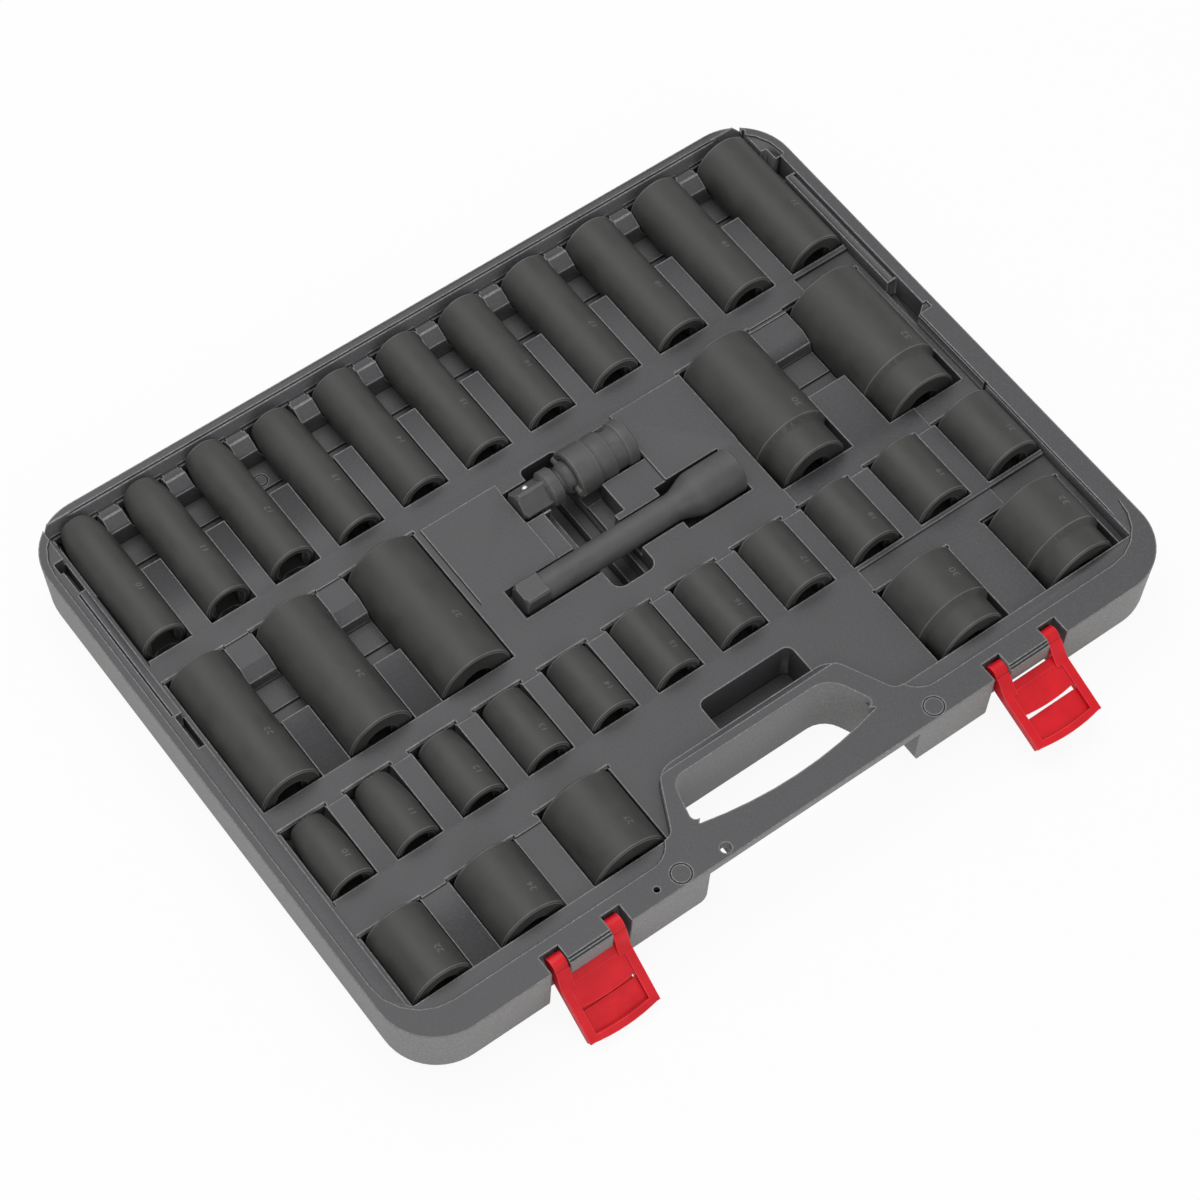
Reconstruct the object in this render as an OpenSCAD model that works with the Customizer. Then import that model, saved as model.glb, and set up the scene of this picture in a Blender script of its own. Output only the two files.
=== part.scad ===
// Impact socket set lying in the open base of its blow-moulded carrying case.
// Origin at the centre of the case's underside: +X to the right, +Y to the back, +Z up. Millimetres.

/* [Case] */
// Width of the case left of the first pockets
left_margin = 14.9; // [13:0.1:20]
// Width of the case right of the last pockets
right_margin = 12.1; // [12:0.1:20]
// Depth of the case in front of the front row
front_margin = 24; // [24:0.5:28]
// Depth of the case behind the back row
back_margin = 9; // [9:0.5:14]
// Height of the case base, floor to rim
case_h = 38; // [38:0.5:48]
// Plan radius of the case corners at the rim
corner_r = 30; // [24:1:34]
// Radius of the edge round the underside
foot_r = 7; // [3:0.5:9]
// How far the outer walls lean in between rim and floor
wall_draft = 1.5; // [0.5:0.25:3]
// Drop from the rim to the deck that holds the tools
deck_drop = 6; // [4.5:0.5:7]
// Depth of the ledge that the lid's lip sits on
ledge_drop = 1; // [0.5:0.25:1.5]
// Width of the rim along the back, left and right
rim_w = 4; // [3:0.5:5]
// Width of the rim along the front
front_rim_w = 15.5; // [15:0.5:17]
// Width of the ledge inside the rim, left, right and front
ledge_w = 8; // [6:0.5:9]
// How far the back wall of the cavity leans in down to the deck
back_lean = 4.5; // [2:0.5:5]
// Lift of the strips between the small sockets above the deck
strip_lift = 0.9; // [0.4:0.1:1.5]
// Drop of the strips between the large sockets below the deck
strip_sink = 0.6; // [0.3:0.1:1]

/* [Handle] */
// Half of the bay under the grip
bay_half = 60; // [56:1:64]
// Distance of the window's far wall from the front of the case
window_reach = 46; // [40:1:47]
// Thickness of the flange along the front of the grip
flange_h = 5; // [4:0.5:7]
// Height of the whole grip
grip_h = 16; // [12:1:20]
// Thickness of the grip, front to back
grip_w = 12; // [11:0.5:13]
// How far the grip bulges into the window
grip_bulge = 6; // [3:0.5:7]
// Diameter of the padlock hole through the flange
padlock_d = 5.5; // [4:0.5:6]

/* [Latches] */
// Distance of each latch from the middle of the case
latch_x = 125; // [105:1:150]
// Width of each latch
latch_w = 38; // [34:1:40]
// Length of each latch from pivot to tip
latch_l = 41; // [38:0.5:41]
// Width of the lug that carries each latch
lug_w = 23; // [20:0.5:25]
// Height of that lug
lug_h = 12; // [11:0.5:16]
// Depth of the recess that each latch swings in
recess_d = 10; // [9.5:0.5:11]
// Room beside each latch in its recess
latch_room = 2.75; // [1:0.25:4]
// Diameter of the pivot stubs moulded on the latch
stub_d = 5; // [4:0.25:6]
// Angle the left latch hangs from its closed position
hang_left = 128; // [100:1:128]
// Angle the right latch hangs from its closed position
hang_right = 112; // [100:1:128]

/* [Sockets] */
// Side of the square drive
drive_sq = 12.7; // [12.6:0.05:12.8]
// Length of the deep sockets
deep_l = 78; // [70:1:80]
// Length of the standard sockets up to 24
std_l = 38; // [32:1:38]
// Depth of the square drive in each socket
drive_depth = 15; // [12:0.5:16]
// Depth of the hexagon in a standard socket
std_hex_depth = 13; // [9:0.5:14]
// Depth of the hexagon in a deep socket
deep_hex_depth = 24; // [18:1:30]
// Chamfer round both ends of a socket
end_chamfer = 0.8; // [0.4:0.1:1.2]
// Length over which a deep socket's nose narrows
deep_nose_l = 18; // [10:1:24]
// Length over which a standard socket's nose narrows
std_nose_l = 20; // [12:1:22]

/* [Layout] */
// Gap between pockets in the two small rows
small_gap = 10.9; // [8:0.1:14]
// Gap between the large pockets at the left
left_gap = 15.2; // [10:0.1:18]
// Gap between the large pockets at the right
right_gap = 22.7; // [16:0.1:24]
// Band of deck between the front row and the standard row
front_band = 14.5; // [12:0.5:18]
// Band between the standard row and the large deep row
middle_band = 12.3; // [10:0.1:16]
// Band between the large deep row and the deep row
back_band = 13.4; // [11:0.1:16]
// Room in front of each socket in its pocket
front_play = 1.6; // [0.5:0.1:2.5]
// Room behind each socket in its pocket
end_play = 3.1; // [1.5:0.1:4]

/* [Extension bar] */
// Length of the extension bar
ext_l = 125; // [120:1:126]
// Diameter of its shaft
ext_shaft_d = 14.5; // [14:0.25:17]
// Diameter of its socket end
ext_head_d = 23; // [21.5:0.5:24]
// Length of its socket end, without the flare
ext_head_l = 22; // [18:1:26]
// Length of the flare
ext_flare_l = 15; // [10:1:18]
// Length of its square
ext_square_l = 12; // [11:0.5:14]

/* [Universal joint] */
// Diameter of the housing
uj_d = 25.5; // [24.5:0.5:27]
// Length of the housing
uj_housing_l = 34.7; // [33:0.5:37]
// Diameter of the ball on the drive piece
uj_ball_d = 17; // [15:0.5:17.5]
// Diameter of the collar behind the square
uj_collar_d = 19; // [18.5:0.5:19.5]
// Length of the collar
uj_collar_l = 7; // [6:0.5:7]
// Length of the square
uj_square_l = 16; // [13:0.5:17]
// Diameter of the cross pin
uj_pin_d = 5; // [4:0.25:6]

/* [Fits] */
// Gap under a tool lying in its seat
seat_gap = 0.3; // [0.2:0.05:0.5]
// Gap beside a tool in its pocket
side_play = 0.5; // [0.4:0.05:0.6]
// Radial clearance of pivots and of sliding balls
run_fit = 0.06; // [0.03:0.01:0.1]
// Clearance of a female square over a male one
square_play = 0.15; // [0.1:0.05:0.3]

/* [Hidden] */
$fn = 48;
arc_steps = 5;
over = 1;

case_grey = [0.38, 0.38, 0.39];
latch_red = [0.83, 0.14, 0.18];
socket_black = [0.17, 0.17, 0.17];
bright_steel = [0.75, 0.75, 0.74];

// Hexagon size, body diameter, nose diameter deep, nose diameter standard
SMALL = [
    [10, 23, 17.5, 17.5],
    [11, 23.5, 18.5, 18.5],
    [12, 24, 20, 20],
    [13, 24.5, 21.5, 21.5],
    [14, 25, 25, 23],
    [15, 25, 25, 25],
    [16, 26, 26, 26],
    [17, 27.5, 27.5, 27.5],
    [18, 28.5, 28.5, 28.5],
    [19, 29.5, 29.5, 29.5],
    [21, 31.5, 31.5, 31.5]
];
// Hexagon size, body diameter, drive end diameter, standard length less std_l, axis depth below the rim
LARGE = [
    [22, 31, 31, 0, 8.5],
    [24, 34.5, 34.5, 0, 9],
    [27, 39, 39, 4, 11],
    [30, 42, 36, 5, 10.5],
    [32, 44, 38, 6, 12]
];
large_left = 3;
step_deep = 19;
step_std = 15;
step_slope = 3;

// Total of one column of a table
function total(table, column, i = 0) = i >= len(table) ? 0 : table[i][column] + total(table, column, i + 1);

// Length of a pocket for a socket of the given length
function pocket_l(socket_l) = front_play + socket_l + end_play;

// The case is as big as its rows and columns of pockets
longest_std = std_l + max([for (s = LARGE) s[3]]);
columns_w = total(SMALL, 1) + 2 * side_play * len(SMALL) + small_gap * (len(SMALL) - 1);
case_w = left_margin + columns_w + right_margin;
case_d = front_margin + pocket_l(longest_std) + front_band + pocket_l(std_l) + middle_band
    + 2 * pocket_l(deep_l) + back_band + back_margin;
front_y = -case_d / 2;
back_y = case_d / 2;
side_x = case_w / 2;

// Front end of each row
large_std_y = front_y + front_margin;
std_row_y = large_std_y + pocket_l(longest_std) + front_band;
large_deep_y = std_row_y + pocket_l(std_l) + middle_band;
deep_row_y = large_deep_y + pocket_l(deep_l) + back_band;
std_back = std_row_y + pocket_l(std_l);
large_deep_back = large_deep_y + pocket_l(deep_l);
deep_back = deep_row_y + pocket_l(deep_l);
// The first sockets of the deep row lie against the back of their pockets, a little higher
pushed_back = 3;
small_axis_drop = 8;
pushed_axis_drop = 6;

deck_z = case_h - deck_drop;
strip_z = deck_z + strip_lift;
low_strip_z = deck_z - strip_sink;
column_x = left_margin - side_x;
column_end = side_x - right_margin;

// Stretch of the case's inside where the deck lies lower, under the largest sockets
low_deck_x = column_end - 113.4;
low_deck_drop = 1;
lowest_deck_x = column_end - 33.4;
lowest_deck_drop = 2;
low_deck_y = large_deep_back - 1.9;
lowest_deck_y = deep_row_y - 2.3;

// Troughs that let fingers get under the sockets
deep_trough = [deep_back - 37.6, deep_back - 12];
deep_trough_z = case_h - 20;
deep_ramp_y = deep_back - 5;
deep_ramp_drop = 9;
large_trough = [large_deep_y + 35.9, large_deep_y + 61.4];
large_trough_z = case_h - 18;
large_ramp_y = large_deep_y + 68.3;
large_ramp_drop = 10;

// Step up to the raised strips, sloped lip behind each pocket, groove and pad on the trough floors
strip_slope = 2;
pocket_lip = 1;
trough_groove_w = 10.3;
trough_pad_h = 1.2;
mark_d = 7;

// Finger well between the tools, finger recess behind the handle and channels beside the deck
well_in = 40.4;
well_w = 23.5;
well_depths = [18, 26, 33];
recess_in = 33.8;
recess_w = 52.8;
recess_back = 14.1;
recess_depth = 30;
channel_l = 20;
channel_depth = 14;
groove_depth = 1.8;
plateau_in = 20;
wall_x = side_x - rim_w - ledge_w;
back_channel = deep_trough[0] + 2.6;
front_channel = large_trough[0] + 6.5;
// Right and left side: mirrored or not, reach of the channels, reach of the back channel's far part,
// length of its near part, start and width of the groove, slant of the front channel's front end
SIDES = [
    [0, 5.8, 3, 12, 3.8, 2, 4],
    [1, 3.8, 5.4, 13.5, 4, 0.8, 0]
];

left_block_end = large_x(large_left - 1) + LARGE[large_left - 1][1] / 2 + side_play;

// Latch pivots
pivot_y = front_y + 5.5;
pivot_z = case_h - 5.5;
latch_offset = 4.4;
rail_t = 4.4;
rail_w = 4.4;
arm_gap = 0.5;
hub_r = 4.2;
web_from = 12.5;
web_to = 24;
slit_h = 2.8;
pan_t = 1.8;
tip_w = 3.6;
tip_bow = 2;
stub_l = 3.4;
arm_w = (latch_w - lug_w) / 2 - arm_gap;

// Extension bar and universal joint lie along X, with their axes level with the deck
tool_z = deck_z;
panel_back = large_deep_back - 1.2;
ext_y = large_deep_y + 22.3;
ext_x = left_block_end + 19.1;
uj_y = ext_y + 43.4;
uj_x = ext_x + 28.8;
uj_ball_x = uj_x + uj_square_l + uj_collar_l + 8;
uj_mouth_x = uj_ball_x - 1;
uj_neck_d = 12;
uj_ring_x = uj_mouth_x + 22;
uj_ring_w = 6;
uj_waist_x = uj_mouth_x + 13.5;
square_corner_d = 16.6;
detent_d = 4.4;
detent_proud = 1.2;
detent_from_end = 8;
detent_seat = 5.2;
uj_roll = 45;
uj_sway = 2;
uj_side_play = 1.6;

// Ends of the grip's round underside, and the holes in the front rim
grip_from = -44;
grip_to = 52;
padlock_x = -48.3;
padlock_in = 4.5;
pin_hole_x = -85.5;
pin_hole_d = 3;
pin_hole_depth = 8;
mark_x = 72;
mark_in = 6;

// ---- Outlines ----

// Points of a fillet of radius r at corner p, between its neighbours a and b
function fillet(a, p, b, r) =
    let (
        u = (a - p) / norm(a - p),
        v = (b - p) / norm(b - p),
        half = acos(u * v) / 2,
        centre = p + (u + v) / norm(u + v) * r / sin(half),
        first = p + u * r / tan(half) - centre,
        last = p + v * r / tan(half) - centre,
        from = atan2(first.y, first.x),
        raw = atan2(last.y, last.x) - from,
        turn = raw > 180 ? raw - 360 : raw < -180 ? raw + 360 : raw
    )
    [for (i = [0:arc_steps]) centre + r * [cos(from + turn * i / arc_steps), sin(from + turn * i / arc_steps)]];

// A closed path whose corners [x, y, r] are rounded by their radius r
function rounded(path) =
    let (n = len(path), at = function (i) [path[(i + n) % n].x, path[(i + n) % n].y])
    [for (i = [0:n - 1]) each path[i].z == 0 ? [at(i)] : fillet(at(i - 1), at(i), at(i + 1), path[i].z)];

module prism(path, low, high) {
    translate([0, 0, low]) linear_extrude(high - low) polygon(rounded(path));
}

module box(low, high) {
    translate(low) cube(high - low);
}

// ---- Places ----

// Centre of pocket i in a column row that starts at x, with the given gap between pockets
function pocket_x(table, i, x, gap) =
    i <= 0 ? x + side_play + table[0][1] / 2
    : pocket_x(table, i - 1, x, gap) + table[i - 1][1] / 2 + table[i][1] / 2 + 2 * side_play + gap;

function small_x(i) = pocket_x(SMALL, i, column_x, small_gap);
LARGE_RIGHT = [for (i = [large_left:len(LARGE) - 1]) LARGE[i]];
function large_x(i) =
    i < large_left ? pocket_x(LARGE, i, column_x, left_gap)
    : pocket_x(LARGE_RIGHT, i - large_left, right_start, right_gap);
right_start = column_end - 3.4 - total(LARGE_RIGHT, 1) - 2 * side_play * len(LARGE_RIGHT)
    - right_gap * (len(LARGE_RIGHT) - 1);

function large_len(i) = std_l + LARGE[i][3];
function is_pushed(i) = i < pushed_back;

// One row per socket: name, size, body d, nose d, nose length, drive end d, step length,
// length, hexagon depth, centre x, front y, axis z, pocket front y, pocket back y
SOCKETS = concat(
    [for (i = [0:len(SMALL) - 1])
        let (s = SMALL[i])
        [str("deep_", s[0]), s[0], s[1], s[2], deep_nose_l, s[1], 0, deep_l, deep_hex_depth, small_x(i),
         is_pushed(i) ? deep_back - seat_gap - deep_l : deep_row_y + front_play,
         case_h - (is_pushed(i) ? pushed_axis_drop : small_axis_drop), deep_row_y, deep_back]],
    [for (i = [0:len(LARGE) - 1])
        let (s = LARGE[i])
        [str("deep_", s[0]), s[0], s[1], s[1], 0, s[2], s[1] == s[2] ? 0 : step_deep, deep_l, deep_hex_depth,
         large_x(i), large_deep_y + front_play, case_h - s[4], large_deep_y, large_deep_back]],
    [for (i = [0:len(SMALL) - 1])
        let (s = SMALL[i])
        [str("std_", s[0]), s[0], s[1], s[3], std_nose_l, s[1], 0, std_l, std_hex_depth, small_x(i),
         std_row_y + front_play, case_h - small_axis_drop, std_row_y, std_back]],
    [for (i = [0:len(LARGE) - 1])
        let (s = LARGE[i])
        [str("std_", s[0]), s[0], s[1], s[1], 0, s[2], s[1] == s[2] ? 0 : step_std, large_len(i), std_hex_depth,
         large_x(i), large_std_y + front_play, case_h - s[4],
         large_std_y, large_std_y + pocket_l(large_len(i))]]
);

// ---- Case ----

// Half section of the case wall: floor, rounded foot and leaning side, out from the corner's centre
function wall_section() =
    let (foot_x = corner_r - wall_draft)
    concat(
        [[0, 0]],
        [for (i = [0:arc_steps])
            [foot_x - foot_r + foot_r * sin(90 * i / arc_steps), foot_r - foot_r * cos(90 * i / arc_steps)]],
        [[corner_r, case_h], [0, case_h]]
    );

module case_block() {
    across = case_w / 2 - corner_r;
    along = case_d / 2 - corner_r;
    box([-across, -along, 0], [across, along, case_h]);
    for (side = [0, 1]) rotate([0, 0, 180 * side]) {
        translate([across, along, 0]) rotate_extrude(angle = 90) polygon(wall_section());
        translate([-across, along, 0]) rotate([0, 0, 90]) rotate_extrude(angle = 90) polygon(wall_section());
        translate([across, along, 0]) rotate([90, 0, 0]) linear_extrude(2 * along) polygon(wall_section());
        translate([-across, along, 0]) rotate([90, 0, 90]) linear_extrude(2 * across) polygon(wall_section());
    }
}

window_y = front_y + window_reach;

// Ledge for the lid's lip: the line runs parallel to the rim and swings round the handle window
module ledge() {
    line_y = front_y + front_rim_w;
    reach = window_y + 5;
    prism([
        [side_x - rim_w, back_y - rim_w, corner_r - rim_w], [rim_w - side_x, back_y - rim_w, corner_r - rim_w],
        [rim_w - side_x, line_y, 26], [-72, line_y, 14], [-55, reach, 14], [55, reach, 14],
        [72, line_y, 14], [side_x - rim_w, line_y, 26]
    ], case_h - ledge_drop, case_h + over);
}

// The part of the cavity's outline in front, and the deck it surrounds
module cavity() {
    wall_y = front_y + front_rim_w + ledge_w;
    reach = window_y + 8;
    intersection() {
        prism([
            [wall_x, back_y, 0], [-wall_x, back_y, 0], [-wall_x, wall_y, 3], [-64, wall_y, 6], [-49, reach, 12],
            [49, reach, 12], [64, wall_y, 6], [wall_x, wall_y, 3]
        ], deck_z, case_h + over);
        back_slope();
    }
}

// Leaning back wall of the cavity, with rounded corners
module back_slope() {
    rise = case_h - deck_z;
    back = back_y - rim_w;
    translate([-side_x, 0, 0]) rotate([90, 0, 90]) linear_extrude(2 * side_x) polygon([
        [front_y, deck_z - over], [back - back_lean, deck_z - over], [back - back_lean, deck_z],
        [back, deck_z + rise], [back, case_h + over], [front_y, case_h + over]
    ]);
}

// Lower stretches of the deck at the right
module low_decks() {
    wall_y = front_y + front_rim_w + ledge_w;
    box([low_deck_x, wall_y, deck_z - low_deck_drop], [wall_x, low_deck_y, case_h]);
    box([lowest_deck_x, wall_y, deck_z - lowest_deck_drop], [wall_x, lowest_deck_y, case_h]);
}

// A raised panel of the deck that slopes up at its front
module raised_panel(x_from, x_to, y_from, y_to) {
    translate([x_from, 0, 0]) rotate([90, 0, 90]) linear_extrude(x_to - x_from) polygon([
        [y_from - strip_slope, deck_z - 3], [y_from - strip_slope, deck_z], [y_from, strip_z],
        [y_to, strip_z], [y_to, deck_z - 3]
    ]);
}

// Raised strips between the small sockets and raised panels beside the tools
module raised_strips() {
    row_end = column_end - side_play;
    raised_panel(column_x, row_end, deep_row_y, deep_trough[0]);
    box([column_x, deep_trough[1], deck_z - 3], [row_end, deep_ramp_y + 1, strip_z]);
    raised_panel(column_x, row_end, std_row_y, std_back - 2);
    raised_panel(left_block_end + 3.7, uj_x - 1, ext_y + 11.1, panel_back);
    raised_panel(uj_mouth_x + uj_housing_l + 1.6, low_deck_x, ext_y + 13.6, panel_back);
}

// Troughs across the rows: each falls from a ramp at the back to a raised pad on its floor
module trough(x_from, x_to, y, floor_z, ramp_y, ramp_z, top_z) {
    pad_y = y[0] + trough_groove_w;
    pad_z = floor_z + trough_pad_h;
    translate([x_from, 0, 0]) rotate([90, 0, 90]) linear_extrude(x_to - x_from) polygon([
        [y[0], floor_z], [pad_y, floor_z], [pad_y, pad_z], [y[1] - 1, pad_z], [y[1], ramp_z], [ramp_y, top_z],
        [ramp_y, case_h + over], [y[0] - 1, case_h + over], [y[0] - 1, top_z]
    ]);
}

module troughs() {
    left_end = left_block_end - side_play;
    right_from = large_x(large_left);
    right_to = large_x(large_left + 1);
    trough(column_x, column_end, deep_trough, deep_trough_z, deep_ramp_y, case_h - deep_ramp_drop, strip_z);
    for (span = [[column_x, left_end], [right_from, right_to]]) {
        trough(span[0], span[1], large_trough, large_trough_z, large_ramp_y, case_h - large_ramp_drop, low_strip_z);
        box([span[0], large_deep_y, low_strip_z], [span[1], large_deep_back, case_h]);
        box([span[0], large_std_y, low_strip_z], [span[1], large_std_y + std_l + 4, case_h]);
    }
    translate([small_x(2) + SMALL[2][1] / 2 + side_play + small_gap / 2, deep_trough[1] - 9.9,
               deep_trough_z + trough_pad_h - 0.4]) ring(mark_d / 2 - 0.6, mark_d / 2);
}

// Shallow ring-shaped groove
module ring(inner, outer) {
    difference() {
        cylinder(h = over, r = outer);
        translate([0, 0, -over]) cylinder(h = 3 * over, r = inner);
    }
}

// Height of the deck at the back end of a pocket
function deck_at(x, y) =
    deck_z - (x > lowest_deck_x && y < lowest_deck_y ? lowest_deck_drop
    : x > low_deck_x && y < low_deck_y ? low_deck_drop : 0);

// Pocket of one socket: a channel with a round floor, open upwards, with a sloped lip along its back end
module pocket(s) {
    r = s[2] / 2 + side_play;
    lift = side_play - seat_gap;
    back = s[13];
    lip_z = deck_at(s[9], back);
    translate([s[9], back, s[11] + lift]) rotate([90, 0, 0]) linear_extrude(back - s[12]) union() {
        circle(r);
        translate([-r, 0]) square([2 * r, case_h]);
    }
    translate([s[9] - r - pocket_lip, 0, 0]) rotate([90, 0, 90]) linear_extrude(2 * (r + pocket_lip)) polygon([
        [back - pocket_lip, lip_z - pocket_lip], [back, lip_z - pocket_lip], [back + pocket_lip, lip_z],
        [back + pocket_lip, case_h + over], [back - pocket_lip, case_h + over]
    ]);
}

// Seats of the two tools and the finger well between them
module tool_seats() {
    shaft = ext_shaft_d / 2;
    head = ext_head_d / 2;
    head_x = ext_x + ext_l - ext_head_l - ext_flare_l;
    box([ext_x - 2.8, ext_y - shaft - 1.9, tool_z - shaft - seat_gap], [head_x + 1, ext_y + shaft + 1.8, case_h]);
    box([head_x, ext_y - head - 2.4, tool_z - head - seat_gap],
        [ext_x + ext_l + side_play, ext_y + head + 2.4, case_h]);
    male = square_corner_d / 2;
    housing = uj_d / 2;
    box([uj_x - 1.5, uj_y - male - uj_side_play, tool_z - male - seat_gap],
        [uj_mouth_x - 3, uj_y + male + uj_side_play, case_h]);
    box([uj_mouth_x - 4, uj_y - housing - side_play, tool_z - housing - seat_gap],
        [uj_mouth_x + uj_housing_l + 1.5, uj_y + housing + side_play, case_h]);
}

// Finger well under and between the two tools, in three depths
module finger_well() {
    left = ext_x + well_in;
    right = left + well_w;
    front = large_deep_y + 0.8;
    middle = [ext_y + 8.5, ext_y + 12.5, uj_y - 10.9];
    prism([
        [left, front, 5], [right, front, 5], [right, middle[1], 0], [right + 5.5, middle[1], 0],
        [right + 5.5, middle[2], 0], [right - 1.5, middle[2], 0], [right - 1.5, panel_back, 3],
        [left + 1, panel_back, 3], [left + 1, middle[2], 0], [left - 3, middle[2], 0], [left - 3, middle[0], 0],
        [left, middle[0], 0]
    ], case_h - well_depths[0], case_h);
    shelf = [left + 4, right - 3, right - 9];
    deep_front = front + 2;
    deep_back_y = uj_y + 9.1;
    prism([[shelf[0], deep_front, 4], [shelf[1], deep_front, 4], [shelf[1], deep_back_y, 4], [shelf[0], deep_back_y, 4]],
          case_h - well_depths[1], case_h);
    prism([[shelf[0], deep_front, 4], [shelf[2], deep_front, 0], [shelf[2], deep_back_y, 0], [shelf[0], deep_back_y, 4]],
          case_h - well_depths[2], case_h);
}

// Deep finger recess behind the handle's window, to lift the case off a surface
module finger_recess() {
    left = ext_x + recess_in;
    right = left + recess_w;
    back = std_row_y - recess_back;
    prism([[left, back, 4], [right, back, 4], [right, window_y + 8, 0], [left, window_y + 8, 0]],
          case_h - recess_depth, case_h);
}

// Channels beside the deck for the lid's ribs, and the groove in the ledge between them
module side_channels() {
    z = case_h - channel_depth;
    near = wall_x - 0.5;
    for (s = SIDES) mirror([s[0], 0, 0]) {
        prism([
            [near, back_channel, 0], [wall_x + s[1], back_channel, 1], [wall_x + s[1], back_channel + s[3], 0],
            [wall_x + s[2], back_channel + s[3], 0], [wall_x + s[2], back_channel + channel_l, 1],
            [near, back_channel + channel_l, 0]
        ], z, case_h + over);
        prism([
            [near, front_channel - s[6], 0], [wall_x + 0.6, front_channel - s[6], 0], [wall_x + s[1], front_channel, 0],
            [wall_x + s[1], front_channel + channel_l, 1], [near, front_channel + channel_l, 0]
        ], z, case_h + over);
        from = front_channel + channel_l + 1;
        box([wall_x + s[4], from, case_h - ledge_drop - groove_depth],
            [wall_x + s[4] + s[5], back_channel - 1, case_h + over]);
    }
}

// The right rim is wider, and in front of the channel it runs level over the ledge
module wide_rim() {
    outer = side_x - rim_w + 0.5;
    low = case_h - ledge_drop - 0.5;
    right = SIDES[0];
    box([wall_x + right[4] + right[5], front_channel, low], [outer, back_channel + right[3], case_h]);
    front = front_y + front_rim_w + plateau_in;
    translate([wall_x + 0.6, 0, 0]) rotate([90, 0, 90]) linear_extrude(outer - wall_x - 0.6) polygon([
        [front, low], [front, case_h - ledge_drop], [front + 6, case_h],
        [front_channel - right[6], case_h], [front_channel - right[6], low]
    ]);
}

// Window for the hand, with the bay that opens under the grip
module handle_bay() {
    side_y = front_y + 23;
    side_w = bay_half - 7.5;
    prism([[-bay_half, front_y - 5, 0], [-bay_half, side_y - 8, 0], [-side_w, side_y, 0], [5.5 - side_w, window_y, 8],
           [side_w - 10.5, window_y, 14], [side_w, side_y, 0], [bay_half, side_y - 8, 0], [bay_half, front_y - 5, 0]],
          -over, case_h - flange_h);
    back = front_y + 15;
    translate([0, 0, case_h - flange_h - over]) linear_extrude(flange_h + 2 * over) polygon(concat(
        rounded([[side_w, side_y, 3], [side_w - 10.5, window_y, 14], [5.5 - side_w, window_y, 8], [-side_w, side_y, 3]]),
        [for (i = [-4:4]) [i * (side_w - 2) / 4, back + grip_bulge * i * i / 16]]
    ));
    for (side = [-1, 1])
        translate([side * bay_half, front_y + 15, -0.01]) rotate([90, 0, 0]) linear_extrude(20) difference() {
            translate([side > 0 ? -1 : -12, -1]) square([13, 13]);
            translate([side * 12, 12]) circle(12);
        }
}

// Rounded underside of the grip
module grip() {
    y_from = front_y + 3;
    y_to = y_from + grip_w - 0.5;
    low = case_h - grip_h;
    translate([grip_from, 0, 0]) rotate([90, 0, 90]) linear_extrude(grip_to - grip_from) polygon(rounded([
        [y_from, case_h - flange_h + 0.5, 0], [y_from, low, 5], [y_to, low, 5], [y_to, case_h - flange_h + 0.5, 0]
    ]));
}

module latch_recess(x) {
    half = latch_w / 2 + latch_room;
    box([x - half, front_y - over, -over], [x + half, front_y + recess_d, case_h + over]);
}

// Lug between the latch's arms, with blind holes for its stubs and two steps along its front edge
module latch_lug(x) {
    difference() {
        box([x - lug_w / 2, front_y, case_h - lug_h], [x + lug_w / 2, front_y + recess_d + 1, case_h]);
        for (step = [0, 1])
            box([x - lug_w, front_y - over, case_h - 1 - step], [x + lug_w, front_y + 2.4 - 1.2 * step, case_h + over]);
        for (side = [-1, 1])
            translate([x + side * lug_w / 2, pivot_y, pivot_z]) rotate([0, 90, 0])
                cylinder(h = 2 * (stub_l + 0.2), r = stub_d / 2 + run_fit, center = true);
    }
}

module case_base() {
    color(case_grey) difference() {
        union() {
            difference() {
                case_block();
                ledge();
                cavity();
                low_decks();
                handle_bay();
                latch_recess(-latch_x);
                latch_recess(latch_x);
            }
            wide_rim();
            raised_strips();
            grip();
            latch_lug(-latch_x);
            latch_lug(latch_x);
        }
        troughs();
        for (s = SOCKETS) pocket(s);
        tool_seats();
        finger_well();
        finger_recess();
        side_channels();
        translate([padlock_x, front_y + padlock_in, 0]) cylinder(h = case_h + over, r = padlock_d / 2);
        translate([pin_hole_x, front_y + mark_in, case_h - pin_hole_depth])
            cylinder(h = pin_hole_depth + over, r = pin_hole_d / 2);
        for (side = [-1, 1]) translate([side * mark_x, front_y + mark_in, case_h - 0.4]) ring(4.6, 5.2);
    }
}

// ---- Latches ----

// One side of the latch, in its closed position: u points out of the case and v up, from the pivot
module latch_side() {
    inner = latch_offset - rail_t / 2;
    outer = latch_offset + rail_t / 2;
    translate([0, 0, latch_w / 2 - rail_w]) linear_extrude(rail_w) polygon(rounded([
        [-3.2, 1, 0], [-2.6, 5, 3], [inner, web_from, 6], [inner, latch_l, 0], [outer, latch_l - 1, 1],
        [outer + 0.6, 8, 8], [3.9, 0, 0], [0, -2, 0]
    ]));
    translate([0, 0, lug_w / 2 + arm_gap]) linear_extrude(arm_w) {
        circle(hub_r);
        polygon(rounded([
            [-3.2, 1, 0], [-2.6, 5, 3], [inner, web_from, 6], [inner, web_from + 2, 0], [outer, web_from + 2, 0],
            [outer + 0.6, 8, 8], [3.9, 0, 0], [0, -2, 0]
        ]));
    }
    translate([0, 0, lug_w / 2 - stub_l]) cylinder(h = stub_l + arm_gap + 1, r = stub_d / 2);
}

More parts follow.
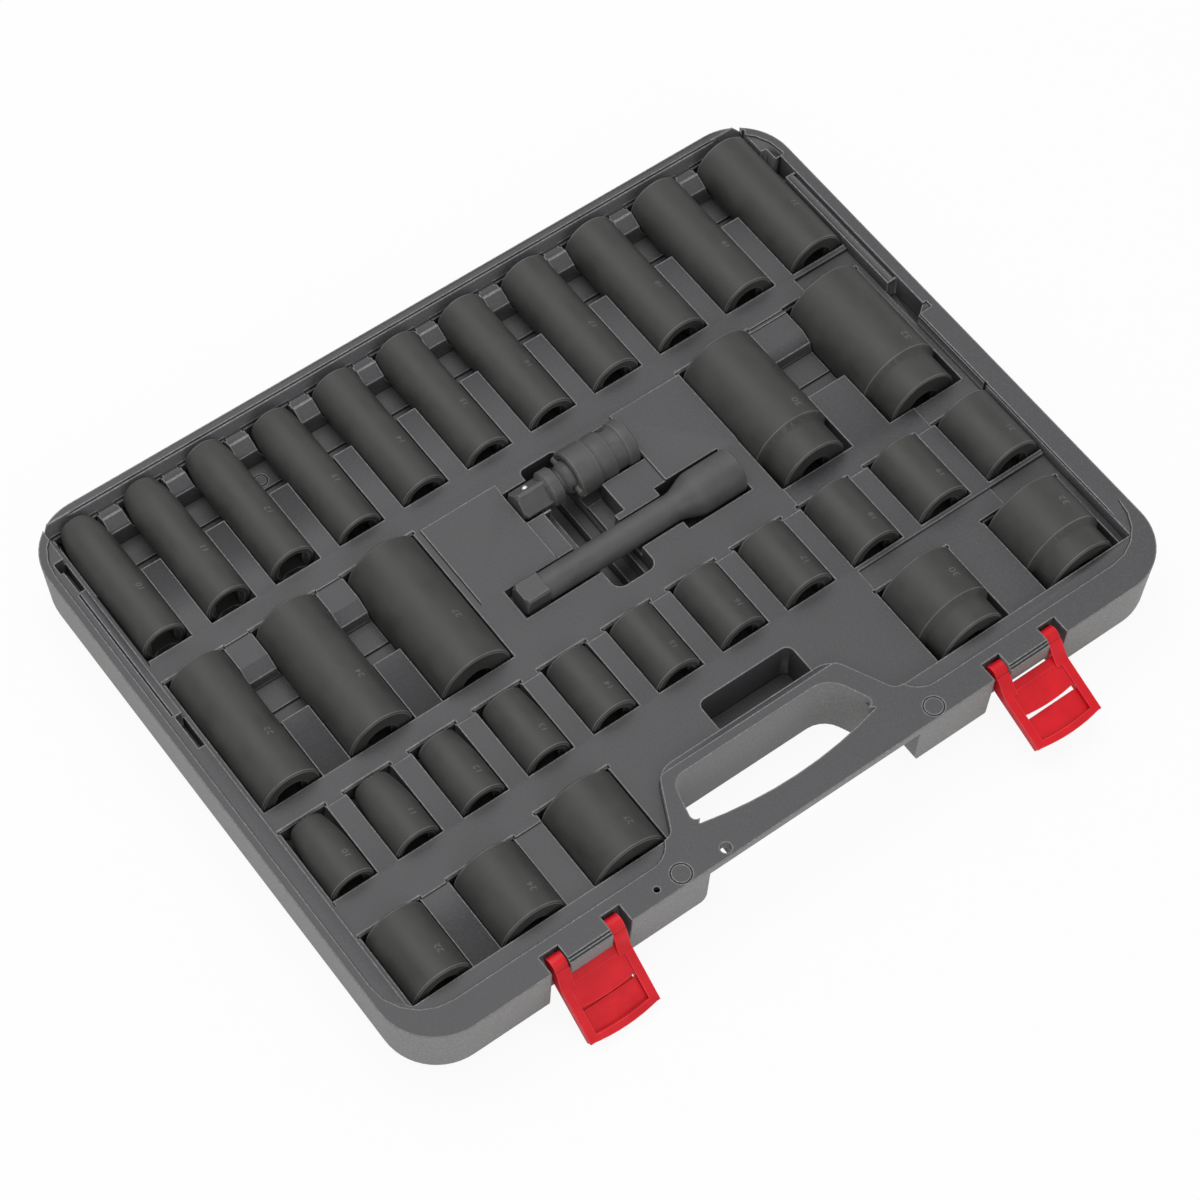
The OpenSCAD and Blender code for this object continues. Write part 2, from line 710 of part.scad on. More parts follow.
// Web under the lug, slit, pan and bowed tip, across the latch
module latch_panel() {
    half = latch_w / 2 - rail_w / 2;
    inner = latch_offset - rail_t / 2;
    outer = latch_offset + rail_t / 2;
    slit_mid = 1.2;
    bow = function (i) 1 - i * i / 16;
    // Web, its lower edge bowed towards the slit
    translate([inner + 0.6, 0, 0]) rotate([90, 0, 90]) linear_extrude(2.6) polygon(concat(
        [[half, web_from], [-half, web_from]],
        [for (i = [-4:4]) [i * half / 4, web_to + (slit_h - slit_mid) * bow(i)]]
    ));
    // Pan
    translate([outer - pan_t, 0, 0]) rotate([90, 0, 90]) linear_extrude(pan_t) polygon([
        [half, web_to + slit_h], [half, latch_l - 1], [-half, latch_l - 1], [-half, web_to + slit_h]
    ]);
    // Tip rail
    translate([inner, 0, 0]) rotate([90, 0, 90]) linear_extrude(rail_t) polygon(concat(
        [for (i = [-4:4]) [i * latch_w / 8, latch_l - tip_w + (tip_bow - 0.4) * bow(i)]],
        [for (i = [4:-1:-4]) [i * latch_w / 8, latch_l - 0.4 + tip_bow * bow(i)]]
    ));
}

// Whole latch about its pivot: hanging by the given angle from its closed position
module latch(x, hang) {
    color(latch_red) translate([x, pivot_y, pivot_z]) rotate([hang, 0, 0]) {
        for (side = [0, 1]) mirror([side, 0, 0]) rotate([90, 0, -90]) latch_side();
        rotate([0, 0, -90]) latch_panel();
    }
}

module latch_left() {
    latch(-latch_x, hang_left);
}

module latch_right() {
    latch(latch_x, hang_right);
}

// ---- Sockets ----

// Outside of a socket: drive end at the bottom, nose at the top
function socket_section(s) =
    let (
        r = s[2] / 2,
        nose_r = s[3] / 2,
        drive_r = s[5] / 2,
        length = s[7],
        nose_from = length - s[4],
        steps = 4
    )
    concat(
        [[0, 0], [drive_r - end_chamfer, 0], [drive_r, end_chamfer]],
        s[6] > 0 ? [[drive_r, s[6] - step_slope], [r, s[6]]] : [],
        nose_r < r
            ? [for (i = [0:steps]) [nose_r + (r - nose_r) * cos(90 * i / steps), nose_from + s[4] * i / steps - (i == steps ? end_chamfer : 0)]]
            : [[r, length - end_chamfer]],
        [[nose_r - end_chamfer, length], [0, length]]
    );

module socket(s) {
    length = s[7];
    hex_r = (s[1] + 0.2) / 2 / cos(30);
    bore_r = (s[1] - 0.4) / 2;
    square = drive_sq + square_play;
    color(socket_black) translate([s[9], s[10], s[11]]) rotate([-90, 0, 0]) difference() {
        rotate_extrude() polygon(socket_section(s));
        translate([-square / 2, -square / 2, -over]) cube([square, square, drive_depth + over]);
        translate([0, 0, -0.01]) cylinder(h = 1.8, r1 = square * 0.7, r2 = square * 0.56);
        translate([0, 0, drive_depth]) cylinder(h = length - drive_depth, r = bore_r);
        translate([0, 0, length - s[8]]) cylinder(h = s[8] + over, r = hex_r, $fn = 6);
        translate([0, 0, length - 1]) cylinder(h = 1.01, r1 = hex_r * 0.87, r2 = min(hex_r + 0.3, s[3] / 2 - end_chamfer - 0.2));
    }
}

// ---- Tools with a square drive ----

// Male square along +X from the origin, its corners turned round, with a hole for the detent ball
module male_square(length, roll) {
    rotate([roll, 0, 0]) difference() {
        intersection() {
            translate([0, -drive_sq / 2, -drive_sq / 2]) cube([length, drive_sq, drive_sq]);
            rotate([0, 90, 0]) rotate_extrude() polygon([
                [0, 0], [square_corner_d / 2 - 1.6, 0], [square_corner_d / 2, 1.6],
                [square_corner_d / 2, length + over], [0, length + over]
            ]);
        }
        translate([detent_from_end, drive_sq / 2 - detent_seat, 0]) rotate([-90, 0, 0])
            cylinder(h = detent_seat + over, r = detent_d / 2 + run_fit);
    }
}

// Detent ball at rest in that hole
module detent_ball(roll) {
    color(bright_steel) rotate([roll, 0, 0])
        translate([detent_from_end, drive_sq / 2 - detent_d / 2 + detent_proud, 0]) sphere(detent_d / 2);
}

module female_square(depth, roll) {
    square = drive_sq + square_play;
    rotate([roll, 0, 0]) translate([-depth, -square / 2, -square / 2]) cube([depth + over, square, square]);
    translate([-1.8, 0, 0]) rotate([0, 90, 0]) cylinder(h = 1.81, r1 = square * 0.56, r2 = square * 0.7);
}

module extension_bar() {
    head_x = ext_l - ext_head_l;
    flare_x = head_x - ext_flare_l;
    shaft = ext_shaft_d / 2;
    head = ext_head_d / 2;
    color(socket_black) translate([ext_x, ext_y, tool_z]) difference() {
        union() {
            male_square(ext_square_l + 1, 0);
            rotate([0, 90, 0]) rotate_extrude() polygon(concat(
                [[0, ext_square_l], [shaft - 1.2, ext_square_l], [shaft, ext_square_l + 2]],
                [for (i = [0:6]) [shaft + (head - shaft) * (1 - cos(30 * i)) / 2, flare_x + ext_flare_l * i / 6]],
                [[head, ext_l - end_chamfer], [head - end_chamfer, ext_l], [0, ext_l]]
            ));
        }
        translate([ext_l, 0, 0]) female_square(drive_depth, 0);
    }
}

module extension_ball() {
    translate([ext_x, ext_y, tool_z]) detent_ball(0);
}

// Housing of the universal joint: mouth for the ball at the left, square drive at the right
module joint_housing() {
    r = uj_d / 2;
    ring_x = uj_ring_x - uj_mouth_x;
    waist_x = uj_waist_x - uj_mouth_x;
    mouth_r = uj_ball_d / 2 + run_fit;
    color(socket_black) translate([uj_mouth_x, uj_y, tool_z]) difference() {
        rotate([0, 90, 0]) rotate_extrude() polygon([
            [0, 0], [r - 0.9, 0], [r, 0.9], [r, waist_x - 1.5], [r - 0.7, waist_x - 0.5], [r - 0.7, waist_x + 1],
            [r - 0.2, waist_x + 2.5], [r - 0.2, ring_x - 0.8], [r - 1.6, ring_x], [r - 1.6, ring_x + uj_ring_w],
            [r - 0.4, ring_x + uj_ring_w + 1.2], [r - 0.4, uj_housing_l - end_chamfer],
            [r - 0.4 - end_chamfer, uj_housing_l], [0, uj_housing_l]
        ]);
        rotate([0, 90, 0]) translate([0, 0, -over]) cylinder(h = uj_ball_d / 2 + 3 + over, r = mouth_r);
        translate([-0.01, 0, 0]) rotate([0, 90, 0]) cylinder(h = 1, r1 = mouth_r + 1, r2 = mouth_r);
        translate([uj_housing_l, 0, 0]) female_square(drive_depth, uj_roll);
        translate([uj_ball_x - uj_mouth_x, 0, 0]) rotate([90, 0, 0])
            cylinder(h = uj_d + 2 * over, r = uj_pin_d / 2 + run_fit, center = true);
        translate([ring_x + uj_ring_w / 2, 0, 0]) rotate([-uj_roll, 0, 0])
            cylinder(h = r + over, r = 1.9);
    }
}

// Cross pin: turns in the housing and carries the ball
module joint_pin() {
    reach = uj_d / 2 - 0.8;
    color(bright_steel) translate([uj_ball_x, uj_y, tool_z]) rotate([90, 0, 0])
        cylinder(h = 2 * reach, r = uj_pin_d / 2, center = true);
}

// Drive piece of the universal joint: square, collar, neck and ball, the ball slotted round the cross pin
module joint_drive() {
    collar_x = uj_square_l;
    neck_x = collar_x + uj_collar_l;
    ball_x = uj_ball_x - uj_x;
    half = uj_pin_d / 2 + run_fit;
    reach = uj_ball_d / 2 + over;
    flare = reach * tan(uj_sway + 4);
    color(socket_black) translate([uj_x, uj_y, tool_z]) difference() {
        union() {
            male_square(collar_x + 1, uj_roll);
            rotate([0, 90, 0]) rotate_extrude() polygon([
                [0, collar_x - 1], [square_corner_d / 2 - 1, collar_x - 1], [uj_collar_d / 2, collar_x + 1],
                [uj_collar_d / 2, neck_x - 1], [uj_collar_d / 2 - 1, neck_x], [uj_neck_d / 2, neck_x],
                [uj_neck_d / 2, ball_x - 4], [0, ball_x - 4]
            ]);
            translate([ball_x, 0, 0]) sphere(uj_ball_d / 2);
        }
        translate([ball_x, 0, -half]) linear_extrude(2 * half) polygon([
            [-half, 0], [-half - flare, -reach], [half + flare, -reach],
            [half, 0], [half + flare, reach], [-half - flare, reach]
        ]);
    }
}

module joint_ball() {
    translate([uj_x, uj_y, tool_z]) detent_ball(uj_roll);
}

case_base();
latch_left();
latch_right();
for (s = SOCKETS) socket(s);
extension_bar();
extension_ball();
joint_housing();
joint_pin();
joint_drive();
joint_ball();
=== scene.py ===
"""Impact socket set lying in the open base of its moulded carrying case."""

import logging
import math
from collections.abc import Iterable
from dataclasses import dataclass
from enum import Enum

import bmesh
import bpy
from mathutils import Matrix, Vector


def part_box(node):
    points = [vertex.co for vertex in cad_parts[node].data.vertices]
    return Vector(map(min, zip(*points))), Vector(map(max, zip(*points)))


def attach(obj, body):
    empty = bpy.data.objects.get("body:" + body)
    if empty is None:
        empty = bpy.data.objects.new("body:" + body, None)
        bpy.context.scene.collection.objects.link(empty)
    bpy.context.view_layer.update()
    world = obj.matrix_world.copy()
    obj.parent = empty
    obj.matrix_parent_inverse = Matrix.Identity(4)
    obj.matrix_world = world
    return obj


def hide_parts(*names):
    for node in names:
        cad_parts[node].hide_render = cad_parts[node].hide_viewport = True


LOG = logging.getLogger("socket_set")
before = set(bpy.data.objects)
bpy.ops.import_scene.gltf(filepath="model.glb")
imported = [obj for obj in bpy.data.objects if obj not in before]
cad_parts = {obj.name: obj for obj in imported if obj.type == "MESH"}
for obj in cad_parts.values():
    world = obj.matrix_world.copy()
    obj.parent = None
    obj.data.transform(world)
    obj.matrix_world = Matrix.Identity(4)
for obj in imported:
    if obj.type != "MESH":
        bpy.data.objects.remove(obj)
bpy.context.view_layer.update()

Colour = tuple[float, float, float]
Place = tuple[float, float, float]


class Zone(Enum):
    """Where a face of the case lies, which decides its grain."""

    TRAY = 0
    OUTSIDE = 1


# ---- Finishes ----


class NodeSheet:
    """A material's node tree, with short calls for the nodes that the finishes use."""

    def __init__(self, name: str) -> None:
        """Starts a material with one shader on its output.

        Args:
            name: The material's name.
        """
        self.material = bpy.data.materials.new(name)
        self.material.use_nodes = True
        self.tree = self.material.node_tree
        self.shader = self.tree.nodes["Principled BSDF"]
        self.place = self.add("ShaderNodeTexCoord")

    def add(self, kind: str, **settings: object) -> bpy.types.Node:
        """Adds a node and sets its properties.

        Args:
            kind: The node's type.
            **settings: Properties of the node by name.

        Returns:
            The node.
        """
        node = self.tree.nodes.new(kind)
        for key, value in settings.items():
            setattr(node, key, value)
        return node

    def link(self, source: bpy.types.NodeSocket, target: bpy.types.NodeSocket) -> None:
        """Joins two sockets of the tree."""
        self.tree.links.new(source, target)

    def surface(self, entry: str, source: bpy.types.NodeSocket) -> None:
        """Feeds one entry of the shader from a socket."""
        self.link(source, self.shader.inputs[entry])

    def fixed(self, entry: str, value: float | tuple[float, ...]) -> None:
        """Sets one entry of the shader to a value that is the same all over."""
        self.shader.inputs[entry].default_value = value

    def noise(self, size: float, detail: float, rough: float = 0.5) -> bpy.types.NodeSocket:
        """Noise on object coordinates.

        Args:
            size: Size of its blotches in metres.
            detail: Octaves of finer noise.
            rough: Strength of the finer octaves.

        Returns:
            The noise's factor.
        """
        node = self.add("ShaderNodeTexNoise")
        node.inputs["Scale"].default_value = 1.0 / size
        node.inputs["Detail"].default_value = detail
        node.inputs["Roughness"].default_value = rough
        self.link(self.place.outputs["Object"], node.inputs["Vector"])
        return node.outputs["Fac"]

    def cells(self, size: float, smoothness: float) -> bpy.types.NodeSocket:
        """Pebbled cells on object coordinates.

        Args:
            size: Size of one cell in metres.
            smoothness: How softly the cells meet, from 0 to 1.

        Returns:
            Distance from the cell's middle.
        """
        node = self.add("ShaderNodeTexVoronoi", feature="SMOOTH_F1")
        node.inputs["Scale"].default_value = 1.0 / size
        node.inputs["Smoothness"].default_value = smoothness
        self.link(self.place.outputs["Object"], node.inputs["Vector"])
        return node.outputs["Distance"]

    def ramp(self, value: bpy.types.NodeSocket, low: float, high: float,
             from_low: float = 0.3, from_high: float = 0.7) -> bpy.types.NodeSocket:
        """Maps a value linearly to a new range.

        Args:
            value: The value.
            low: Result at from_low.
            high: Result at from_high.
            from_low: Lower end of the value.
            from_high: Upper end of the value.

        Returns:
            The mapped value.
        """
        node = self.add("ShaderNodeMapRange", clamp=True)
        node.inputs["From Min"].default_value = from_low
        node.inputs["From Max"].default_value = from_high
        node.inputs["To Min"].default_value = low
        node.inputs["To Max"].default_value = high
        self.link(value, node.inputs["Value"])
        return node.outputs["Result"]

    def blend(self, factor: bpy.types.NodeSocket, first: Colour | bpy.types.NodeSocket,
              second: Colour | bpy.types.NodeSocket) -> bpy.types.NodeSocket:
        """Mixes two colours.

        Args:
            factor: How much of the second.
            first: A colour or a colour socket.
            second: A colour or a colour socket.

        Returns:
            The mixed colour.
        """
        node = self.add("ShaderNodeMix", data_type="RGBA")
        self.link(factor, node.inputs["Factor"])
        for value, name in ((first, "A"), (second, "B")):
            target = [s for s in node.inputs if s.name == name and s.type == "RGBA"][0]
            if isinstance(value, bpy.types.NodeSocket):
                self.link(value, target)
            else:
                target.default_value = (*value, 1.0)
        return [s for s in node.outputs if s.type == "RGBA"][0]

    def bump(self, height: bpy.types.NodeSocket, depth: float, strength: float,
             under: bpy.types.NodeSocket | None = None) -> bpy.types.NodeSocket:
        """Turns a height into a bumped normal.

        Args:
            height: Height from 0 to 1.
            depth: Depth of the relief in metres.
            strength: Strength from 0 to 1.
            under: Normal that it goes over, where there is one.

        Returns:
            The normal.
        """
        node = self.add("ShaderNodeBump")
        node.inputs["Strength"].default_value = strength
        node.inputs["Distance"].default_value = depth
        self.link(height, node.inputs["Height"])
        if under is not None:
            self.link(under, node.inputs["Normal"])
        return node.outputs["Normal"]


def scaled(colour: Colour, factor: float) -> Colour:
    """Gives a colour made lighter or darker by a factor."""
    return tuple(part * factor for part in colour)


@dataclass(frozen=True)
class MouldedPlastic:
    """Blow-moulded polyethylene: grain, faint flow marks and pale specks on the grain's high spots, which are
    painted highlights.

    Attributes:
        name: Name of the material.
        colour: Colour of the plastic, linear.
        pale: Colour of the painted highlights on its grain's high spots, linear.
        grain: Size of the grain in metres.
        relief: Depth of the grain in metres.
        roughness: Roughness of the surface.
        fleck: How far the pale colour shows.
        flow: Size of the flow marks in metres.
        flow_light: How much lighter the plastic is at a flow mark.
        flow_share: How far the flow marks show.
        pebble: Size of the pebbles in grains.
        pebble_soft: How softly the pebbles meet.
        specular: Specular level.
    """

    name: str
    colour: Colour
    pale: Colour
    grain: float
    relief: float
    roughness: float
    fleck: float
    flow: float = 0.045
    flow_light: float = 1.12
    flow_share: float = 0.35
    pebble: float = 1.6
    pebble_soft: float = 0.6
    specular: float = 0.45

    def make(self) -> bpy.types.Material:
        """Builds the material.

        Returns:
            The material.
        """
        sheet = NodeSheet(self.name)
        flow = sheet.noise(self.flow, detail=3.0)
        grain = sheet.noise(self.grain, detail=3.0, rough=0.65)
        pebble = sheet.cells(self.grain * self.pebble, self.pebble_soft)
        # painted highlights: the grain's high spots turn pale
        speck_highlight = sheet.ramp(grain, 0.0, self.fleck, 0.45, 0.75)
        flowed = sheet.blend(sheet.ramp(flow, 0.0, self.flow_share), self.colour,
                             scaled(self.colour, self.flow_light))
        sheet.surface("Base Color", sheet.blend(speck_highlight, flowed, self.pale))
        sheet.surface("Roughness", sheet.ramp(grain, self.roughness - 0.06, self.roughness + 0.1))
        coarse = sheet.bump(pebble, self.relief, strength=0.8)
        sheet.surface("Normal", sheet.bump(grain, self.relief * 0.6, strength=0.7, under=coarse))
        sheet.fixed("Specular IOR Level", self.specular)
        return sheet.material


@dataclass(frozen=True)
class LatchPlastic:
    """Satin red injection-moulded plastic.

    Attributes:
        name: Name of the material.
        colour: Colour of the plastic, linear.
        deep: Colour where it flowed thicker, linear.
        roughness: Roughness of the surface.
        flow: Size of the flow marks in metres.
        grain: Size of the grain in metres.
        relief: Depth of the grain in metres.
        specular: Specular level.
        glow: Share of the light that goes under the skin.
        glow_reach: How far red, green and blue go under the skin, in metres.
    """

    name: str = "latch_red"
    colour: Colour = (0.69, 0.008, 0.018)
    deep: Colour = (0.56, 0.005, 0.012)
    roughness: float = 0.45
    flow: float = 0.012
    grain: float = 0.0005
    relief: float = 0.00002
    specular: float = 0.28
    glow: float = 0.04
    glow_reach: Place = (0.004, 0.001, 0.001)

    def make(self) -> bpy.types.Material:
        """Builds the material.

        Returns:
            The material.
        """
        sheet = NodeSheet(self.name)
        flow = sheet.noise(self.flow, detail=2.0)
        grain = sheet.noise(self.grain, detail=2.0)
        sheet.surface("Base Color", sheet.blend(sheet.ramp(flow, 0.0, 1.0), self.colour, self.deep))
        sheet.surface("Roughness", sheet.ramp(flow, self.roughness - 0.05, self.roughness + 0.08))
        sheet.surface("Normal", sheet.bump(grain, self.relief, strength=0.5))
        sheet.fixed("Specular IOR Level", self.specular)
        sheet.fixed("Subsurface Weight", self.glow)
        sheet.fixed("Subsurface Radius", self.glow_reach)
        return sheet.material


@dataclass(frozen=True)
class PhosphatedSteel:
    """Dull black phosphate on forged steel: fine crystals and faint oily patches.

    Attributes:
        name: Name of the material.
        colour: Colour of the phosphate, linear.
        light: Colour where it has dried out, linear.
        roughness: Roughness of the surface.
        patch: Size of the patches in metres.
        crystal: Size of the crystals in metres.
        glint: How much lighter a crystal is than the dry colour.
        relief: Height of the crystals in metres.
        specular: Specular level.
    """

    name: str = "socket_steel"
    colour: Colour = (0.028, 0.028, 0.027)
    light: Colour = (0.050, 0.0495, 0.047)
    roughness: float = 0.54
    patch: float = 0.016
    crystal: float = 0.00045
    glint: float = 1.5
    relief: float = 0.00003
    specular: float = 0.42

    def make(self) -> bpy.types.Material:
        """Builds the material.

        Returns:
            The material.
        """
        sheet = NodeSheet(self.name)
        patches = sheet.noise(self.patch, detail=4.0, rough=0.6)
        crystals = sheet.noise(self.crystal, detail=2.0, rough=0.6)
        tone = sheet.blend(sheet.ramp(patches, 0.0, 0.8), self.colour, self.light)
        glints = sheet.ramp(crystals, 0.0, 0.35, 0.5, 0.8)
        sheet.surface("Base Color", sheet.blend(glints, tone, scaled(self.light, self.glint)))
        sheet.surface("Roughness", sheet.ramp(patches, self.roughness - 0.07, self.roughness + 0.09))
        sheet.surface("Normal", sheet.bump(crystals, self.relief, strength=0.6))
        sheet.fixed("Specular IOR Level", self.specular)
        return sheet.material


@dataclass(frozen=True)
class BareSteel:
    """Hardened bare steel of the detent balls.

    Attributes:
        name: Name of the material.
        colour: Colour of the steel, linear.
        roughness: Roughness of the surface.
        smudge: Size of the smudges in metres.
        smudge_dark: How much darker a smudge is.
    """

    name: str = "bare_steel"
    colour: Colour = (0.62, 0.61, 0.58)
    roughness: float = 0.22
    smudge: float = 0.002
    smudge_dark: float = 0.7

    def make(self) -> bpy.types.Material:
        """Builds the material.

        Returns:
            The material.
        """
        sheet = NodeSheet(self.name)
        smudges = sheet.noise(self.smudge, detail=3.0)
        sheet.surface("Base Color", sheet.blend(sheet.ramp(smudges, 0.0, 0.6), self.colour,
                                                scaled(self.colour, self.smudge_dark)))
        sheet.surface("Roughness", sheet.ramp(smudges, self.roughness - 0.05, self.roughness + 0.12))
        sheet.fixed("Metallic", 1.0)
        return sheet.material


# ---- Pieces made from the CAD's own solids ----


def make_piece(name: str, work: bmesh.types.BMesh,
               materials: Iterable[bpy.types.Material] = ()) -> bpy.types.Object:
    """Puts a mesh in the scene as a piece and reports it.

    Args:
        name: Name of the piece and of its mesh.
        work: The mesh, which stays open.
        materials: Its finishes in the order of its slots.

    Returns:
        The piece.
    """
    mesh = bpy.data.meshes.new(name)
    work.to_mesh(mesh)
    for material in materials:
        mesh.materials.append(material)
    piece = bpy.data.objects.new(name, mesh)
    bpy.context.scene.collection.objects.link(piece)
    LOG.info("%s: %d faces", name, len(mesh.polygons))
    return piece


@dataclass(frozen=True)
class EdgeLine:
    """Closed bead along the sharp edges of a piece, with one finish where they stand out and another in the
    corners, which paints highlights on the edges and shade in the corners.

    Attributes:
        width: Width on each side of an edge in metres.
        lift: Height above the faces in metres.
        root: Depth under the edge in metres.
        sharp: Angle in degrees past which an edge gets a bead.
        face_share: Most of a face's depth that the bead takes.
        least_reach: Least depth of a face, in widths, that still gets a bead.
    """

    width: float
    lift: float = 0.00002
    root: float = 0.00015
    sharp: float = 28.0
    face_share: float = 0.45
    least_reach: float = 0.25

    def build(self, name: str, work: bmesh.types.BMesh,
              materials: tuple[bpy.types.Material, bpy.types.Material]) -> bpy.types.Object:
        """Makes one thin piece of all the beads, none of them below the floor.

        Args:
            name: Name of the piece.
            work: The mesh whose edges it follows.
            materials: Finishes of the outer edges, for painted highlights, and of the corners, for painted shade.

        Returns:
            The piece.
        """
        beads = bmesh.new()
        limit = math.radians(self.sharp)
        for edge in work.edges:
            if len(edge.link_faces) == 2 and edge.calc_face_angle(0.0) > limit:
                self.trace(beads, edge)
        for vert in beads.verts:
            vert.co.z = max(vert.co.z, 0.0)
        bmesh.ops.recalc_face_normals(beads, faces=beads.faces)
        piece = make_piece(name, beads, materials)
        beads.free()
        return piece

    def trace(self, beads: bmesh.types.BMesh, edge: bmesh.types.BMEdge) -> None:
        """Lays a closed bead along one edge, a hair above its two faces and rooted under the edge.

        Args:
            beads: Mesh that takes the bead.
            edge: The edge.
        """
        outward = sum((face.normal for face in edge.link_faces), Vector()).normalized()
        sides = []
        for loop in edge.link_loops:
            start, end = loop.vert, loop.link_loop_next.vert
            inward = loop.face.normal.cross(end.co - start.co).normalized()
            reach = max((vert.co - start.co).dot(inward) for vert in loop.face.verts)
            if reach < self.width * self.least_reach:
                return
            sides.append(inward * min(self.width, self.face_share * reach) + loop.face.normal * self.lift / 2)
        section = (outward * self.lift, sides[0], outward * -self.root, sides[1])
        near, far = ([beads.verts.new(vert.co + step) for step in section] for vert in edge.verts)
        faces = [beads.faces.new((near[k], far[k], far[(k + 1) % 4], near[(k + 1) % 4])) for k in range(4)]
        for face in faces:
            face.smooth = True
        for k in range(1, 4):
            beads.edges.get((near[k], far[k])).smooth = False
        faces += [beads.faces.new(near), beads.faces.new(far[::-1])]
        # outer edges take the painted-highlight finish, corners the painted-shade finish
        for face in faces:
            face.material_index = 0 if edge.calc_face_angle_signed(0.0) > 0.0 else 1


@dataclass(frozen=True)
class Moulding:
    """A CAD solid with its finish, and with beads that round its edges as a mould or a tumbler leaves them and
    carry painted highlights and painted shade.

    Attributes:
        node: Name of the CAD node.
        line: The beads along its edges.
        weld: Distance in metres within which points become one.
        flat: Angle in degrees within which triangles become one face.
        crisp: Angle in degrees past which an edge is shaded sharp.
    """

    node: str
    line: EdgeLine
    weld: float = 2e-6
    flat: float = 0.6
    crisp: float = 35.0

    def build(self, name: str, body: str, slot: str, faces: list[bpy.types.Material],
              edges: tuple[bpy.types.Material, bpy.types.Material]) -> None:
        """Makes the piece and its beads, and lets the piece stand for its node.

        Args:
            name: Name of the piece.
            body: Body that it rides on.
            slot: Material slot of the record; not used.
            faces: Finishes of its faces in the order of the zones.
            edges: Finishes of its outer edges and of its corners, which paint highlights and shade there.
        """
        work = bmesh.new()
        work.from_mesh(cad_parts[self.node].data)
        bmesh.ops.remove_doubles(work, verts=work.verts, dist=self.weld)
        bmesh.ops.dissolve_limit(work, angle_limit=math.radians(self.flat), verts=work.verts,
                                 edges=work.edges, use_dissolve_boundaries=False)
        self.shade(work)
        piece = make_piece(name, work, faces)
        piece.data.set_sharp_from_angle(angle=math.radians(self.crisp))
        piece.modifiers.new("weighted", "WEIGHTED_NORMAL").keep_sharp = True
        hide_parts(self.node)
        beads = self.line.build(f"{name}_edges", work, edges)
        work.free()
        for each in (piece, beads):
            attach(each, body)

    def shade(self, work: bmesh.types.BMesh) -> None:
        """Smooths the faces of the mesh."""
        for face in work.faces:
            face.smooth = True


@dataclass(frozen=True)
class CaseBase(Moulding):
    """The moulded base of the case, with its outside grained more coarsely than its tray.

    Attributes:
        wall: Depth inside the outline in metres that counts as outside.
        corner: Radius of the outline's corners in metres.
        window_half: Half width of the handle window with its wall, in metres.
        window_depth: Distance from the front to the back of the handle window's wall, in metres.
        rim_depth: Depth under the rim in metres where the coarse grain starts.
        wall_slope: Height of a face's normal under which it is a wall.
        window_slope: The same for the wall of the handle window.
        underside: Height of a face's normal under which it is the underside.
    """

    wall: float = 0.004
    corner: float = 0.030
    window_half: float = 0.0605
    window_depth: float = 0.0465
    rim_depth: float = 0.0004
    wall_slope: float = 0.6
    window_slope: float = 0.5
    underside: float = -0.9

    def shade(self, work: bmesh.types.BMesh) -> None:
        """Smooths the faces and sorts them into tray and outside.

        Args:
            work: The mesh.
        """
        super().shade(work)
        low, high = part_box(self.node)
        for face in work.faces:
            middle, slope = face.calc_center_median(), face.normal.z
            inside = min(middle.x - low.x, high.x - middle.x, middle.y - low.y, high.y - middle.y,
                         self.corner_gap(middle, high))
            window = (abs(middle.x) < self.window_half and middle.y < low.y + self.window_depth
                      and slope < self.window_slope)
            side = (slope < self.wall_slope and high.z - middle.z > self.rim_depth
                    and (inside < self.wall or window))
            zone = Zone.OUTSIDE if side or slope < self.underside else Zone.TRAY
            face.material_index = zone.value

    def corner_gap(self, point: Vector, high: Vector) -> float:
        """How far a point lies inside the rounded corners of the outline.

        Args:
            point: The point.
            high: High corner of the case's box.

        Returns:
            The gap to the corner's arc in metres, and infinity away from the corners.
        """
        across = abs(point.x) - (high.x - self.corner)
        along = abs(point.y) - (high.y - self.corner)
        if across < 0 or along < 0:
            return math.inf
        return self.corner - math.hypot(across, along)


@dataclass(frozen=True)
class Slab:
    """Flat block across a latch, measured from the latch's pivot with the latch closed.

    Attributes:
        half: Half of its width in metres.
        low: How far up its lower end is, in metres.
        high: How far up its upper end is, in metres.
        inner: How far out its inner face is, in metres.
        outer: How far out its outer face is, in metres.
    """

    half: float
    low: float
    high: float
    inner: float
    outer: float

    def build(self, name: str, place: Matrix, rounding: float,
              material: bpy.types.Material) -> bpy.types.Object:
        """Makes the block with rounded edges.

        Args:
            name: Name of the piece.
            place: Where the pivot is, and how far the latch hangs.
            rounding: Width of its edges' rounding in metres.
            material: Its finish.

        Returns:
            The piece.
        """
        near = Vector((-self.half, -self.outer, self.low))
        size = Vector((self.half, -self.inner, self.high)) - near
        work = bmesh.new()
        bmesh.ops.create_cube(work, size=1.0)
        bmesh.ops.scale(work, verts=work.verts, vec=size)
        bmesh.ops.translate(work, verts=work.verts, vec=near + size / 2)
        bmesh.ops.bevel(work, geom=work.edges[:], offset=rounding, offset_type="OFFSET", segments=2,
                        profile=0.5, affect="EDGES", clamp_overlap=True, material=-1)
        bmesh.ops.transform(work, matrix=place, verts=work.verts)
        piece = make_piece(name, work, [material])
        work.free()
        return piece


